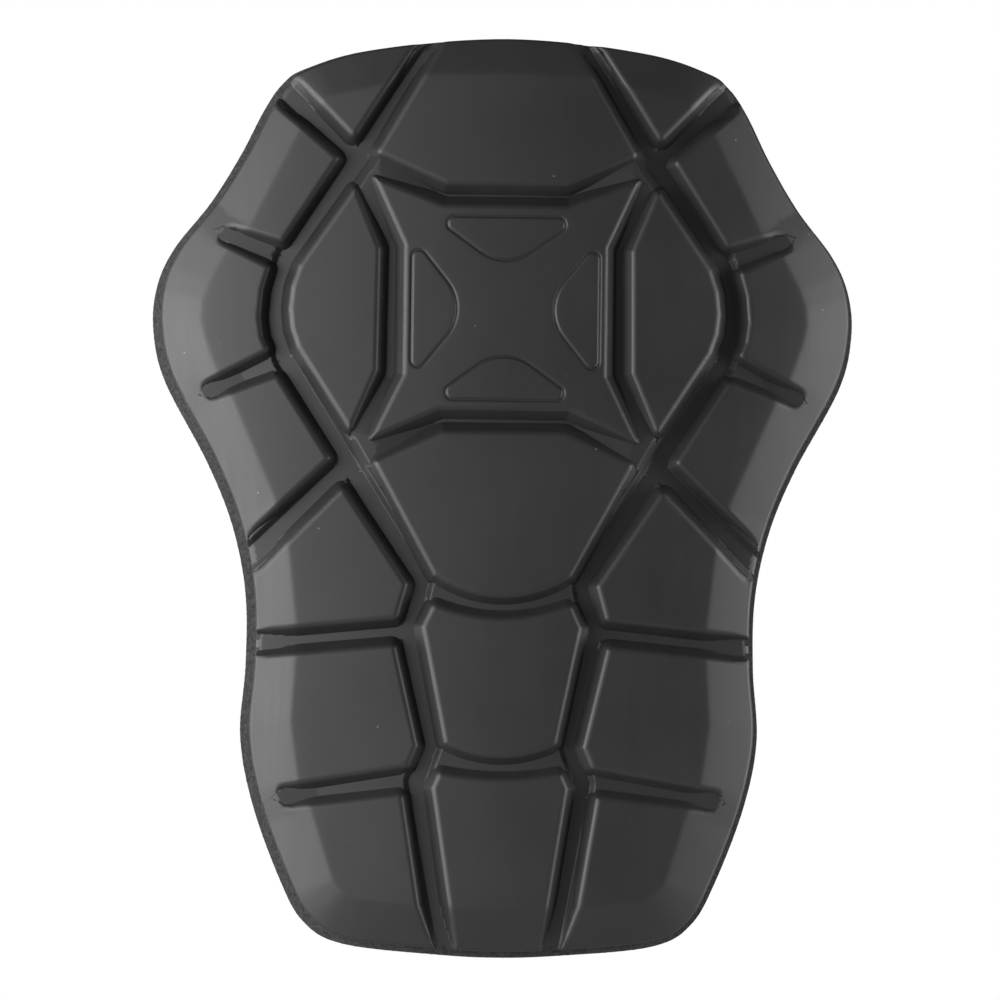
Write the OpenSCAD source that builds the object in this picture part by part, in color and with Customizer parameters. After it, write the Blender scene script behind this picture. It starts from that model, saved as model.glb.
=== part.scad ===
// Back protector insert for a motorcycle jacket, upright as worn.
// X runs to the wearer's right, +Z is up, and the outer face looks towards -Y.
// The origin is on the inner face, in the middle of its width and height.
// Every layer is a slice of one curved stack, so a place in the stack is given
// by t, the distance out from the inner face along the curve's radius.

/* [Outline] */
// Overall height of the die-cut backing layer
height = 400; // [380:5:430]
// Overall width across the two wings
width = 308; // [290:2:330]
// Radius of the inner face about a vertical axis, which wraps it round the back
back_radius = 450; // [380:10:700]
// How far the moulded skin stops short of the backing's cut edge
rim_inset = 2.6; // [1.5:0.1:4]

/* [Layers] */
// Thickness of the knitted lining on the inner face
lining_t = 0.8; // [0.5:0.1:1.5]
// Thickness of the die-cut backing foam
backing_t = 3.2; // [2:0.2:5]
// Thickness of the impact foam core
core_t = 4.6; // [3:0.2:7]
// Thickness of the moulded skin at the bottom of the grooves
skin_t = 1.4; // [1:0.2:2]
// Height of the armour plates above the groove floor
plate_t = 7; // [6:0.25:9]

/* [Plates] */
// Slope of the bevel that runs round the rim
bevel_angle = 15; // [10:1:17]
// Radius that rounds a plate's corners in plan
corner_r = 3.5; // [1:0.5:5]
// Height of the four shallow pads on the shield plate
pad_h = 0.6; // [0.3:0.1:1]

/* [Flex lines] */
// Width of the flexible strip between two stiff panels
flex_gap = 5; // [4:0.5:6]

/* [Hidden] */
$fn = 256;

// The outlines are drawn on a grid 400 high and 308 wide, then scaled to size.
GRID = [308, 400];
scale_x = width / GRID[0];
scale_z = height / GRID[1];

// Places in the stack, as distances out from the inner face.
t_backing = lining_t;
t_core = t_backing + backing_t;
t_skin = t_core + core_t;
t_floor = t_skin + skin_t;
t_top = t_floor + plate_t;

// Colours of the armour plates and of the layers under them.
ARMOUR = "#303134";
SKIN = "#232426";
CORE = "#2b2c2e";
BACKING = "#3a3b3d";
LINING = "#4a4b4e";
WEB = "#1b1c1e";

REACH = 60;        // half the depth of the prisms that cut the stack
STEPS = 3;         // points on each stretch of the outline's curve
CORNER_STEPS = 4;  // points on each rounded plate corner
SEAM = 0.3;        // half the joint between two plates that meet at the rim

// Right half of the backing's outline, from the top middle round to the bottom middle.
SIDE = [
  [0, 400], [59, 395], [88, 387], [98, 380.5], [106, 369], [116, 349.5],
  [129, 328.5], [145, 308.5], [152.5, 292], [154, 273], [148.5, 250], [129, 214],
  [117.5, 186], [111.5, 157], [111, 126], [113, 95], [107.5, 66], [95.5, 34],
  [84.5, 14.5], [67, 5], [26, 1], [0, 0]
];

// Right half of each plate's outline. Rim plates run past the rim, which trims them.
COLLAR = [[20.3, 412], [57.4, 348.5], [26.3, 334.7]];
SHIELD = [
  [26.9, 327.2], [59, 339.7], [44.7, 308.6], [44.7, 252.8], [59.3, 222.9], [27.9, 236.9]
];
BLADE = [
  [65.5, 335.5], [54.1, 307.7], [54.7, 254.2], [66.5, 226.5], [90.4, 263.6],
  [93.4, 272], [94.4, 281], [93.3, 291], [90, 300.5]
];
MID_BACK_TOP = [[26.5, 229], [57.2, 214.8]];
UPPER_SPINE_SIDE = [[35, 143.5]];
LOWER_SPINE_SIDE = [[29.9, 73.8], [17.3, -8]];
SHOULDER = [[30.9, 410], [66.6, 354.3], [105, 394.3], [105, 412]];
UPPER_WING = [
  [115, 384.2], [72.3, 346.8], [96.8, 309.4], [123.3, 317.3], [127, 315.8 + SEAM],
  [175, 330 + SEAM], [175, 384]
];
MID_WING = [
  [101.9, 299.8], [127, 312.4], [129.5, 316.5 - SEAM], [175, 330 - SEAM],
  [175, 227 + SEAM], [133, 243.2 + SEAM], [131, 247.5], [101.9, 262.3],
  [104.8, 269], [106, 277.4], [105, 289]
];
LOWER_WING = [
  [98.1, 252.5], [127.5, 241.8], [133, 243.2 - SEAM], [175, 227 - SEAM], [175, 120.5],
  [74.4, 215.6]
];
WAIST = [[69.3, 204.5], [122, 151.3], [122, 138.4], [44.9, 146.2], [40.5, 161.8]];
LUMBAR = [
  [45.7, 136.1], [124, 128.5], [124, 64.8 + SEAM], [99, 68 + SEAM], [95, 72.5],
  [39.3, 82.2], [35.3, 91.8]
];
HIP = [
  [41.6, 71.6], [93, 65], [99, 68 - SEAM], [124, 64.8 - SEAM], [124, -8], [22.4, -8],
  [33.7, 22.9]
];

// The four shallow pads on the shield: the top one's and bottom one's right half, and the
// whole of the one on the right.
TOP_PAD = [[26.5, 321.4], [7, 302.8]];
BOTTOM_PAD = [[7, 260.8], [26.5, 242]];
SIDE_PAD = [[40.7, 308], [40.7, 254.6], [20.5, 274.3], [20.5, 288.5]];
PAD_ROOT = 0.5;    // how far a pad reaches down into the shield

// Middle of each flex line's groove.
WING_LINE = [
  [120, 399], [67, 347], [95, 303.5], [100.2, 281], [95.5, 259.5], [67.5, 213.5],
  [130, 153]
];
WAIST_LINE = [[140, 132.6], [41.5, 141.3], [34, 158], [17, 153.6], [0, 152]];
LUMBAR_LINE = [[140, 62.3], [36.5, 76.3], [29, 87.5], [14, 83.9], [0, 82.8]];
FAR = 220;         // a place well outside the outline

// Heights of the level bevel lines, across the top and across the bottom.
COLLAR_BEVEL = 382.5;
LOWER_SPINE_BEVEL = 21.6;

// Bevel lines on the right half, each as two places with the rim on its right.
SHOULDER_BEVEL = [[[78.7, 373], [55.2, 378.3]]];
UPPER_WING_BEVEL = [[[112, 316.5], [89.6, 360.5]]];
MID_WING_BEVEL = [
  [[133, 285], [121.5, 307]], [[133.2, 277], [133, 285]], [[125.2, 253.8], [133.2, 277]]
];
LOWER_WING_BEVEL = [[[98.1, 196.5], [118.8, 243.1]]];
WAIST_BEVEL = [[[88.9, 144], [92.5, 175.8]]];
LUMBAR_BEVEL = [[[90.8, 101.8], [88.9, 131]], [[87.2, 75.9], [90.8, 101.8]]];
HIP_BEVEL = [
  [[71.6, 33.3], [81.5, 64.1]], [[67.2, 27.8], [71.6, 33.3]], [[33.7, 22.9], [67.2, 27.8]]
];

function sized(p) = [p[0] * scale_x, p[1] * scale_z];
function all_sized(pts) = [for (p = pts) sized(p)];
function flip(p) = [-p[0], p[1]];
function reversed(pts) = [for (i = [len(pts) - 1 : -1 : 0]) pts[i]];
function mirrored(pts) = [for (p = reversed(pts)) flip(p)];
function both_halves(pts) = concat(pts, mirrored(pts));
function whole_line(half) = concat(half, mirrored([for (i = [0 : len(half) - 2]) half[i]]));

// A smooth curve through p1 and p2, with p0 and p3 setting its direction there.
function curve_point(p0, p1, p2, p3, s) =
  0.5 * (2 * p1 + (p2 - p0) * s + (2 * p0 - 5 * p1 + 4 * p2 - p3) * s * s
    + (3 * p1 - p0 - 3 * p2 + p3) * s * s * s);

// The smooth closed outline, from its right half.
function outline(half) =
  let (n = len(half), ring = concat(half, [for (i = [n - 2 : -1 : 1]) flip(half[i])]))
  let (m = len(ring))
  [for (i = [0 : m - 1], k = [0 : STEPS - 1])
    curve_point(ring[(i + m - 1) % m], ring[i], ring[(i + 1) % m], ring[(i + 2) % m],
      k / STEPS)];

// Moves every point of a clockwise ring inwards by d.
function inset(ring, d) =
  let (m = len(ring))
  [for (i = [0 : m - 1])
    let (along = ring[(i + 1) % m] - ring[(i + m - 1) % m])
    ring[i] + d * [along[1], -along[0]] / norm(along)];

// Moves an open line sideways by d, to the left of its direction, with mitred corners.
function side_step(line, d) =
  let (last = len(line) - 1)
  [for (i = [0 : last])
    let (before = line[i] - line[max(i - 1, 0)], after = line[min(i + 1, last)] - line[i])
    let (a = i == 0 ? after : before, b = i == last ? before : after)
    let (na = [-a[1], a[0]] / norm(a), nb = [-b[1], b[0]] / norm(b))
    line[i] + d * (na + nb) / (1 + na * nb)];

// Rounds each corner of a closed ring with a short curve.
function rounded(ring, r) =
  let (m = len(ring))
  [for (i = [0 : m - 1])
    let (v = ring[i], a = ring[(i + m - 1) % m] - v, b = ring[(i + 1) % m] - v)
    let (reach = min(r, 0.4 * norm(a), 0.4 * norm(b)))
    let (start = v + reach * a / norm(a), stop = v + reach * b / norm(b))
    for (k = [0 : CORNER_STEPS])
      let (s = k / CORNER_STEPS)
      start * (1 - s) * (1 - s) + v * 2 * s * (1 - s) + stop * s * s];

// Points of a shallow arc from [half_w, z] over to [-half_w, z] that dips by sag.
function dip(half_w, z, sag, n = 8) =
  [for (k = [0 : n]) let (s = 1 - 2 * k / n) [half_w * s, z - sag * (1 - s * s)]];

// How far back the stack's outermost surface lies at x.
function top_y(x) = back_radius - sqrt(pow(back_radius + t_top, 2) - x * x);

RIM_EDGE = outline(all_sized(SIDE));
MOULDED_EDGE = inset(RIM_EDGE, rim_inset);

// Pushes an upright outline through the stack, drawn in x and height.
module prism(pts) {
  rotate([90, 0, 0]) linear_extrude(height = 2 * REACH, center = true) polygon(pts);
}

// The slice of the curved stack between two distances out from the inner face.
module slice(t0, t1) {
  translate([0, back_radius, -REACH]) difference() {
    cylinder(r = back_radius + t1, h = height + 2 * REACH);
    translate([0, 0, -1]) cylinder(r = back_radius + t0, h = height + 2 * REACH + 2);
  }
}

// A block whose lower face is the bevel that falls away outside the line a-b.
module bevel_block(a, b) {
  p = [a[0], top_y(a[0]), a[1]];
  q = [b[0], top_y(b[0]), b[1]];
  along = (q - p) / norm(q - p);
  out_x = (b[1] - a[1]) / norm(b - a);
  out_z = -(b[0] - a[0]) / norm(b - a);
  middle_slope = (a[0] + b[0]) / 2 / back_radius * out_x;
  fall = [out_x, middle_slope + tan(bevel_angle), out_z];
  square_fall = fall - (fall * along) * along;
  down = square_fall / norm(square_fall);
  up = cross(along, down);
  front = up[1] < 0 ? up : -up;
  m = [
    [along[0], down[0], front[0], p[0]],
    [along[1], down[1], front[1], p[1]],
    [along[2], down[2], front[2], p[2]],
    [0, 0, 0, 1]
  ];
  multmatrix(m) translate([-REACH * 2, 0, 0]) cube([REACH * 4, REACH * 2, REACH / 2]);
}

// What a level bevel takes off above (or below, with up = -1) the height z.
module level_bevel(z, up = 1) {
  r = back_radius + t_top;
  translate([0, back_radius, z * scale_z]) scale([1, 1, up]) difference() {
    cylinder(r = r + REACH, h = REACH);
    cylinder(r1 = r, r2 = r - REACH * tan(bevel_angle), h = REACH);
  }
}

// Puts the outlines' bottom edge half the height below the origin.
module centred() {
  translate([0, 0, -height / 2]) children();
}

// One armour plate: an outline through the top of the stack, trimmed by the rim.
module plate(pts, bevels = []) {
  centred() difference() {
    intersection() {
      slice(t_floor, t_top);
      prism(rounded(all_sized(pts), corner_r));
      prism(MOULDED_EDGE);
    }
    for (line = bevels) bevel_block(sized(line[0]), sized(line[1]));
  }
}

// The mirrored plate on the wearer's left.
module left_plate(pts, bevels = []) {
  mirror([1, 0, 0]) plate(pts, bevels);
}

// The side of a flex line that faces the wing tip, less a gap beside the line.
module wing_side(gap) {
  line = side_step(all_sized(WING_LINE), gap);
  prism(concat(line, [[FAR, line[6][1]], [FAR, line[0][1]]]));
}

// Everything above a flex line that crosses the body, less a gap beside the line.
module above(half_line, gap) {
  line = side_step(all_sized(whole_line(half_line)), -gap);
  last = line[len(line) - 1];
  prism(concat(line, [[-FAR, last[1]], [-FAR, FAR + height], [FAR, FAR + height],
    [FAR, line[0][1]]]));
}

// Everything below such a line, less a gap beside it.
module below(half_line, gap) {
  line = side_step(all_sized(whole_line(half_line)), gap);
  last = line[len(line) - 1];
  prism(concat(line, [[-FAR, last[1]], [-FAR, -FAR], [FAR, -FAR], [FAR, line[0][1]]]));
}

// The plan of each stiff panel, as a prism.
module thorax_plan() {
  difference() {
    above(WAIST_LINE, flex_gap / 2);
    wing_side(-flex_gap / 2);
    mirror([1, 0, 0]) wing_side(-flex_gap / 2);
  }
}
module wing_plan() {
  wing_side(flex_gap / 2);
}
module waist_plan() {
  intersection() {
    below(WAIST_LINE, flex_gap / 2);
    above(LUMBAR_LINE, flex_gap / 2);
  }
}
module lumbar_plan() {
  below(LUMBAR_LINE, flex_gap / 2);
}

// One layer of a panel: a slice of the stack inside an edge and the panel's plan.
module layer(t0, t1, edge) {
  centred() intersection() {
    slice(t0, t1);
    prism(edge);
    children();
  }
}
module skin() {
  color(SKIN) layer(t_skin, t_floor, MOULDED_EDGE) children();
}
module core() {
  color(CORE) layer(t_core, t_skin, MOULDED_EDGE) children();
}
module backing() {
  color(BACKING) layer(t_backing, t_core, RIM_EDGE) children();
}
module lining() {
  color(LINING) layer(0, t_backing, RIM_EDGE) children();
}

// The flexible strip that joins two panels along a flex line.
module web() {
  color(WEB) layer(0, t_floor, MOULDED_EDGE) children();
}

// Plates down the middle.
module collar_plate() {
  color(ARMOUR) difference() {
    plate(both_halves(COLLAR));
    centred() level_bevel(COLLAR_BEVEL);
  }
}
module shield_pad(pts) {
  prism(rounded(all_sized(pts), corner_r));
}
module shield_plate() {
  color(ARMOUR) {
    plate(both_halves(SHIELD));
    centred() intersection() {
      slice(t_top - PAD_ROOT, t_top + pad_h);
      union() {
        shield_pad(both_halves(TOP_PAD));
        shield_pad(both_halves(BOTTOM_PAD));
        shield_pad(SIDE_PAD);
        mirror([1, 0, 0]) shield_pad(SIDE_PAD);
      }
    }
  }
}
module right_blade_plate() {
  color(ARMOUR) plate(BLADE);
}
module left_blade_plate() {
  color(ARMOUR) left_plate(BLADE);
}
module mid_back_plate() {
  color(ARMOUR) plate(concat(mirrored(MID_BACK_TOP), MID_BACK_TOP, dip(30, 165, 9.3)));
}
module upper_spine_plate() {
  color(ARMOUR)
    plate(concat(reversed(dip(29.9, 154.4, 6.1)), UPPER_SPINE_SIDE, dip(24.6, 92.4, 6),
      mirrored(UPPER_SPINE_SIDE)));
}
module lower_spine_plate() {
  color(ARMOUR) difference() {
    plate(concat(reversed(dip(26.6, 82, 2.8)), both_halves(LOWER_SPINE_SIDE)));
    centred() level_bevel(LOWER_SPINE_BEVEL, -1);
  }
}

// Plates down each side.
module right_shoulder_plate() {
  color(ARMOUR) plate(SHOULDER, SHOULDER_BEVEL);
}
module left_shoulder_plate() {
  color(ARMOUR) left_plate(SHOULDER, SHOULDER_BEVEL);
}
module right_upper_wing_plate() {
  color(ARMOUR) plate(UPPER_WING, UPPER_WING_BEVEL);
}
module left_upper_wing_plate() {
  color(ARMOUR) left_plate(UPPER_WING, UPPER_WING_BEVEL);
}
module right_mid_wing_plate() {
  color(ARMOUR) plate(MID_WING, MID_WING_BEVEL);
}
module left_mid_wing_plate() {
  color(ARMOUR) left_plate(MID_WING, MID_WING_BEVEL);
}
module right_lower_wing_plate() {
  color(ARMOUR) plate(LOWER_WING, LOWER_WING_BEVEL);
}
module left_lower_wing_plate() {
  color(ARMOUR) left_plate(LOWER_WING, LOWER_WING_BEVEL);
}
module right_waist_plate() {
  color(ARMOUR) plate(WAIST, WAIST_BEVEL);
}
module left_waist_plate() {
  color(ARMOUR) left_plate(WAIST, WAIST_BEVEL);
}
module right_lumbar_plate() {
  color(ARMOUR) plate(LUMBAR, LUMBAR_BEVEL);
}
module left_lumbar_plate() {
  color(ARMOUR) left_plate(LUMBAR, LUMBAR_BEVEL);
}
module right_hip_plate() {
  color(ARMOUR) plate(HIP, HIP_BEVEL);
}
module left_hip_plate() {
  color(ARMOUR) left_plate(HIP, HIP_BEVEL);
}

// The layers under the plates, panel by panel.
module thorax_skin() {
  skin() thorax_plan();
}
module right_wing_skin() {
  skin() wing_plan();
}
module left_wing_skin() {
  mirror([1, 0, 0]) skin() wing_plan();
}
module waist_skin() {
  skin() waist_plan();
}
module lumbar_skin() {
  skin() lumbar_plan();
}
module thorax_core() {
  core() thorax_plan();
}
module right_wing_core() {
  core() wing_plan();
}
module left_wing_core() {
  mirror([1, 0, 0]) core() wing_plan();
}
module waist_core() {
  core() waist_plan();
}
module lumbar_core() {
  core() lumbar_plan();
}
module thorax_backing() {
  backing() thorax_plan();
}
module right_wing_backing() {
  backing() wing_plan();
}
module left_wing_backing() {
  mirror([1, 0, 0]) backing() wing_plan();
}
module waist_backing() {
  backing() waist_plan();
}
module lumbar_backing() {
  backing() lumbar_plan();
}
module thorax_lining() {
  lining() thorax_plan();
}
module right_wing_lining() {
  lining() wing_plan();
}
module left_wing_lining() {
  mirror([1, 0, 0]) lining() wing_plan();
}
module waist_lining() {
  lining() waist_plan();
}
module lumbar_lining() {
  lining() lumbar_plan();
}

// The flexible strips.
module right_wing_flex_web() {
  web() difference() {
    wing_side(-flex_gap / 2);
    wing_side(flex_gap / 2);
  }
}
module left_wing_flex_web() {
  mirror([1, 0, 0]) right_wing_flex_web();
}
module waist_flex_web() {
  web() difference() {
    above(WAIST_LINE, -flex_gap / 2);
    above(WAIST_LINE, flex_gap / 2);
  }
}
module lumbar_flex_web() {
  web() difference() {
    above(LUMBAR_LINE, -flex_gap / 2);
    above(LUMBAR_LINE, flex_gap / 2);
  }
}

collar_plate();
shield_plate();
left_blade_plate();
right_blade_plate();
mid_back_plate();
upper_spine_plate();
lower_spine_plate();
left_shoulder_plate();
right_shoulder_plate();
left_upper_wing_plate();
right_upper_wing_plate();
left_mid_wing_plate();
right_mid_wing_plate();
left_lower_wing_plate();
right_lower_wing_plate();
left_waist_plate();
right_waist_plate();
left_lumbar_plate();
right_lumbar_plate();
left_hip_plate();
right_hip_plate();
thorax_skin();
left_wing_skin();
right_wing_skin();
waist_skin();
lumbar_skin();
thorax_core();
left_wing_core();
right_wing_core();
waist_core();
lumbar_core();
thorax_backing();
left_wing_backing();
right_wing_backing();
waist_backing();
lumbar_backing();
thorax_lining();
left_wing_lining();
right_wing_lining();
waist_lining();
lumbar_lining();
left_wing_flex_web();
right_wing_flex_web();
waist_flex_web();
lumbar_flex_web();
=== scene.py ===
"""The looks of the back protector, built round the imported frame.

Outlines are drawn flat, in millimetres, as (u, z): u to the wearer's right from the middle plane and z up
from the bottom edge. lift() then lays a flat point on the curved stack at t, its distance out from the inner
face.
"""

import math

import bpy
import numpy as np
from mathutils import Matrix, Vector
from mathutils.geometry import delaunay_2d_cdt


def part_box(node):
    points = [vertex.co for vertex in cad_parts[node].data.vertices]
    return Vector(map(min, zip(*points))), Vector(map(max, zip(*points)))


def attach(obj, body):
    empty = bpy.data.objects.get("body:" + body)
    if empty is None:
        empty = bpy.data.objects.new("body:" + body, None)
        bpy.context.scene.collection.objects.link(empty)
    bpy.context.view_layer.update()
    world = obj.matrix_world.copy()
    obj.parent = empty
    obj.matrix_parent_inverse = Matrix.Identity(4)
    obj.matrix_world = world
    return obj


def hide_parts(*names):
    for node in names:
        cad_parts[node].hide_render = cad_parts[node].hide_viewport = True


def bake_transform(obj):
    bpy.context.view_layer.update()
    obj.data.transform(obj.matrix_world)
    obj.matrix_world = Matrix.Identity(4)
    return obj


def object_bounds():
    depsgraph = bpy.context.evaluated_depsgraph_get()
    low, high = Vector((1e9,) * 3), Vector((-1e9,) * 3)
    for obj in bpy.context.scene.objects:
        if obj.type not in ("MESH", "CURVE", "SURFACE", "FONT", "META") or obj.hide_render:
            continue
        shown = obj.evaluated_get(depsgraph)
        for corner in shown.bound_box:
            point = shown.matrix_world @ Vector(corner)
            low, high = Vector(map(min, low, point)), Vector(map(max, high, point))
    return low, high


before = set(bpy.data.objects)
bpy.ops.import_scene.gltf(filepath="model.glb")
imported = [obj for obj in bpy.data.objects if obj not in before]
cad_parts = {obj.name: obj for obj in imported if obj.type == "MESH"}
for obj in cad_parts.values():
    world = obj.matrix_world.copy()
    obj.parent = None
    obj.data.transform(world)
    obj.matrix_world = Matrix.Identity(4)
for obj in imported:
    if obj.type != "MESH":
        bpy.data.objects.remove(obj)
CAD_BOX = [list(corner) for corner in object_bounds()]

# ---------------------------------------------------------------- sizes, all in millimetres
MM = 0.001
GRID_W, GRID_H = 308.0, 400.0          # the grid that the outlines are drawn on


def outermost(node):
    """How far out from the inner face a middle node reaches, in millimetres."""
    return -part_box(node)[0].y / MM


HEIGHT = (CAD_BOX[1][2] - CAD_BOX[0][2]) / MM
WIDTH = (CAD_BOX[1][0] - CAD_BOX[0][0]) / MM
T_TOP = outermost("mid_back_plate")
T_FLOOR = outermost("thorax_skin")
T_SKIN = outermost("thorax_core")
T_CORE = outermost("thorax_backing")
T_BACKING = outermost("thorax_lining")
wing_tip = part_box("right_wing_lining")[1] / MM
BACK_RADIUS = (wing_tip.x ** 2 + wing_tip.y ** 2) / (2 * wing_tip.y)

SCALE = np.array([WIDTH / GRID_W, HEIGHT / GRID_H])

FILLET_W = 2.9                          # width of the rounded edge of a plate, seen from the front
FILLET_R = 3.4
WALL_RUN = 3.2                          # width of a plate's drafted wall, seen from the front
FILLET_DROP = FILLET_R - math.sqrt(FILLET_R ** 2 - FILLET_W ** 2)
WALL_SLOPE = (T_TOP - T_FLOOR - FILLET_DROP) / WALL_RUN
BEVEL_SLOPE = math.tan(math.radians(15))
BEVEL_SOFT = 1.0                        # half-width of the crease where the rim's bevel starts
RIM_R = 1.2                             # rounding of the moulded edge
RAISE = 2.3                             # how much shallower the secondary grooves are
BRINK = 3.45                            # how far from a main groove's middle the other grooves' floors begin
# Up to the first distance from a main groove's middle a wall is as wide as the main groove's, and past the
# second as a side groove's.
MAIN_HALF = (6.6, 8.0)
BRINK_SLOPE = 1.0                       # slope of the step down from another groove into a main one
SIDE_WALL_SLOPE = 1.25                  # slope of the walls along the other grooves
FLANGE_W = 2.8                          # width of the flange that a groove's floor turns into at the rim
SHIELD_RAISE = 0.5                      # the same as RAISE, for the grooves along the shield's sides
CORNER_RAISE = 4.6                      # the same, where those grooves reach the shield's corners
CORNER_RAMP = (7.0, 34.0)               # how far from a corner that floor starts and ends its way down
EMBED = 0.7                             # how far a plate reaches into the skin
PAD_LINE_W, PAD_LINE_D = 0.6, 0.6       # width and depth of the line engraved round a pad
PAD_RAISE = 0.2                         # how far a pad stands above the shield
PAD_RAMP = (-0.2, 0.9)                  # how far inside its line a pad starts to rise and is up
PAD_RADII = (3.2, 3.2, 19.0)
BEVEL_BROAD = 130.0                     # beyond this far to the side the bevel line turns in a broad arc
CORNER_R, CORNER_REACH = 2.4, 2.6       # rounding of the plates' corners, and how far it may reach
FLEX_HALF = 6.0                         # half the width of the strip that bends at a flex line
EDGE_STEP = 1.2                         # spacing of points along an edge
EDGE_SHARE = 0.45                       # how much of an edge the rounding of one corner may take
LEAST_REACH = 0.05                      # a corner is left sharp where its rounding would be shorter
CHUNK = 64                              # how many edges the distances are worked out for at a time
HEX_ROW = 0.866                         # height of a row of equal triangles over their side

# ---------------------------------------------------------------- outlines
SIDE = [
    (0, 400), (59, 395), (88, 387), (98, 380.5), (106, 369), (116, 349.5), (129, 328.5), (145, 308.5),
    (152.5, 292), (154, 273), (148.5, 250), (129, 214), (117.5, 186), (111.5, 157), (111, 126), (113, 95),
    (107.5, 66), (95.5, 34), (84.5, 14.5), (67, 5), (26, 1), (0, 0),
]
BEVEL_SIDE = [
    (0, 383.5), (38, 383), (55.2, 378.3), (78.7, 373), (89.6, 360.5), (112, 316.5), (121.5, 307),
    (135.5, 281), (125.2, 253.8), (118.8, 243.1), (98.1, 196.5), (92.5, 175.8), (88.9, 144), (88.9, 131),
    (90.8, 101.8), (87.2, 75.9), (81.5, 64.1), (71.6, 33.3), (67.2, 27.8), (60, 25.4), (33.7, 22.9),
    (0, 21.6),
]
# Groove edges of each plate on the right half. A rim plate's line starts and ends beyond the rim.
COLLAR = [(20.3, 412), (57.4, 348.5), (26.3, 334.7)]
SHIELD = [(26.9, 327.2), (59, 339.7), (44.7, 308.6), (44.7, 252.8), (59.3, 222.9), (27.9, 236.9)]
BLADE = [
    (65.5, 335.5), (54.1, 307.7), (54.7, 254.2), (66.5, 226.5), (90.4, 263.6), (93.4, 272), (94.4, 281),
    (93.3, 291), (90, 300.5),
]
SHOULDER = [(30.9, 410), (66.6, 354.3), (105, 394.3)]
UPPER_WING = [(115, 384.2), (72.3, 346.8), (96.8, 309.4), (123.3, 317.3), (127, 315.8), (175, 330)]
MID_WING = [
    (175, 330), (127, 315.8), (124.5, 311.2), (101.9, 299.8), (105, 289), (106, 277.4), (104.8, 269),
    (101.9, 262.3), (131, 247.5), (133, 243.2), (175, 227),
]
LOWER_WING = [(175, 227), (133, 243.2), (127.5, 241.8), (98.1, 252.5), (74.4, 215.6), (175, 120.5)]
WAIST = [(122, 151.3), (69.3, 204.5), (40.5, 161.8), (44.9, 146.2), (122, 138.4)]
LUMBAR = [(124, 128.5), (45.7, 136.1), (35.3, 91.8), (39.3, 82.2), (95, 72.5), (99, 68), (124, 64.8)]
HIP = [(124, -8), (124, 64.8), (99, 68), (93, 65), (41.6, 71.6), (33.7, 22.9), (22.4, -8)]
# The shield's pads are triangles with one broad rounded corner.
TOP_PAD = [(-32.3, 321.5), (32.3, 321.5), (0, 298.2)]
BOTTOM_PAD = [(32.3, 241.9), (-32.3, 241.9), (0, 265.2)]
SIDE_PAD = [(40.8, 312.6), (40.8, 250), (15.7, 281.3)]
SHIELD_CORNERS = [(62, 342.5), (62, 220)]
# Middles of the main grooves on the right half, which cut to full depth.
MAIN_GROOVES = [
    [(22, 410), (65, 346), (95, 304), (98.6, 293), (100.2, 281), (98.9, 269), (95.5, 259.5), (67, 213.5),
     (35, 163), (40, 141.5), (30.5, 92), (36, 76), (22, 0), (19, -10)],
    [(65, 346), (120, 399)],
    [(67.5, 213), (130, 153)],
    [(40, 141.5), (130, 133.5)],
]
# Short grooves that run out in the bevel: where each floor meets the bevel, and the way it runs.
FADES = [((124.5, 314.5), (0.93, 0.37)), ((131.5, 244.3), (0.93, -0.37)), ((96, 68.7), (0.99, -0.13))]
FADE_LENGTH = 60.0
FADE_REACH = 12.0
FADE_SLOPE = 0.1                        # how fast a short groove's floor climbs towards its end

# Middle of each flex line, from the right-hand rim inwards or from the top down.
WING_LINE = [(120, 399), (67, 347), (95, 303.5), (100.2, 281), (95.5, 259.5), (67.5, 213.5), (130, 153)]
WAIST_LINE = [(140, 132.6), (41.5, 141.3), (34, 158), (17, 153.6), (0, 152)]
LUMBAR_LINE = [(140, 62.3), (36.5, 76.3), (29, 87.5), (14, 83.9), (0, 82.8)]
FAR = 300.0


def flip(points):
    """The other half's points, in an order that keeps the ring's direction."""
    return [(-u, z) for u, z in reversed(points)]


def sized(points):
    return np.array(points, float) * SCALE


def dip(half_w, z, sag, count=12):
    """A shallow arc from (half_w, z) to (-half_w, z) that sags in the middle."""
    return [(half_w * s, z - sag * (1 - s * s)) for s in np.linspace(1, -1, count)]


def smooth_ring(half, steps):
    """The closed smooth curve through a right half and its mirror image."""
    ring = np.array(list(half) + [(-u, z) for u, z in half[-2:0:-1]], float) * SCALE
    before, after, beyond = np.roll(ring, 1, 0), np.roll(ring, -1, 0), np.roll(ring, -2, 0)
    out = []
    for s in np.arange(steps) / steps:
        square = (2 * before - 5 * ring + 4 * after - beyond) * s ** 2
        cube = (3 * ring - before - 3 * after + beyond) * s ** 3
        out.append(0.5 * (2 * ring + (after - before) * s + square + cube))
    return np.stack(out, 1).reshape(-1, 2)


def resample(line, step, closed=False):
    """Points about step apart along a line, keeping its corners."""
    pts = np.vstack([line, line[:1]]) if closed else np.asarray(line)
    out = []
    for a, b in zip(pts[:-1], pts[1:]):
        n = max(1, int(round(np.linalg.norm(b - a) / step)))
        out += [a + (b - a) * k / n for k in range(n)]
    if not closed:
        out.append(pts[-1])
    return np.array(out)


def side_step(line, d):
    """Moves an open line by d to the left of its direction, with mitred corners."""
    line = np.asarray(line, float)
    way = np.diff(line, axis=0)
    way /= np.linalg.norm(way, axis=1)[:, None]
    left = np.stack([-way[:, 1], way[:, 0]], 1)
    before, after = np.vstack([left[:1], left]), np.vstack([left, left[-1:]])
    return line + d * (before + after) / (1 + (before * after).sum(1))[:, None]


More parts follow.
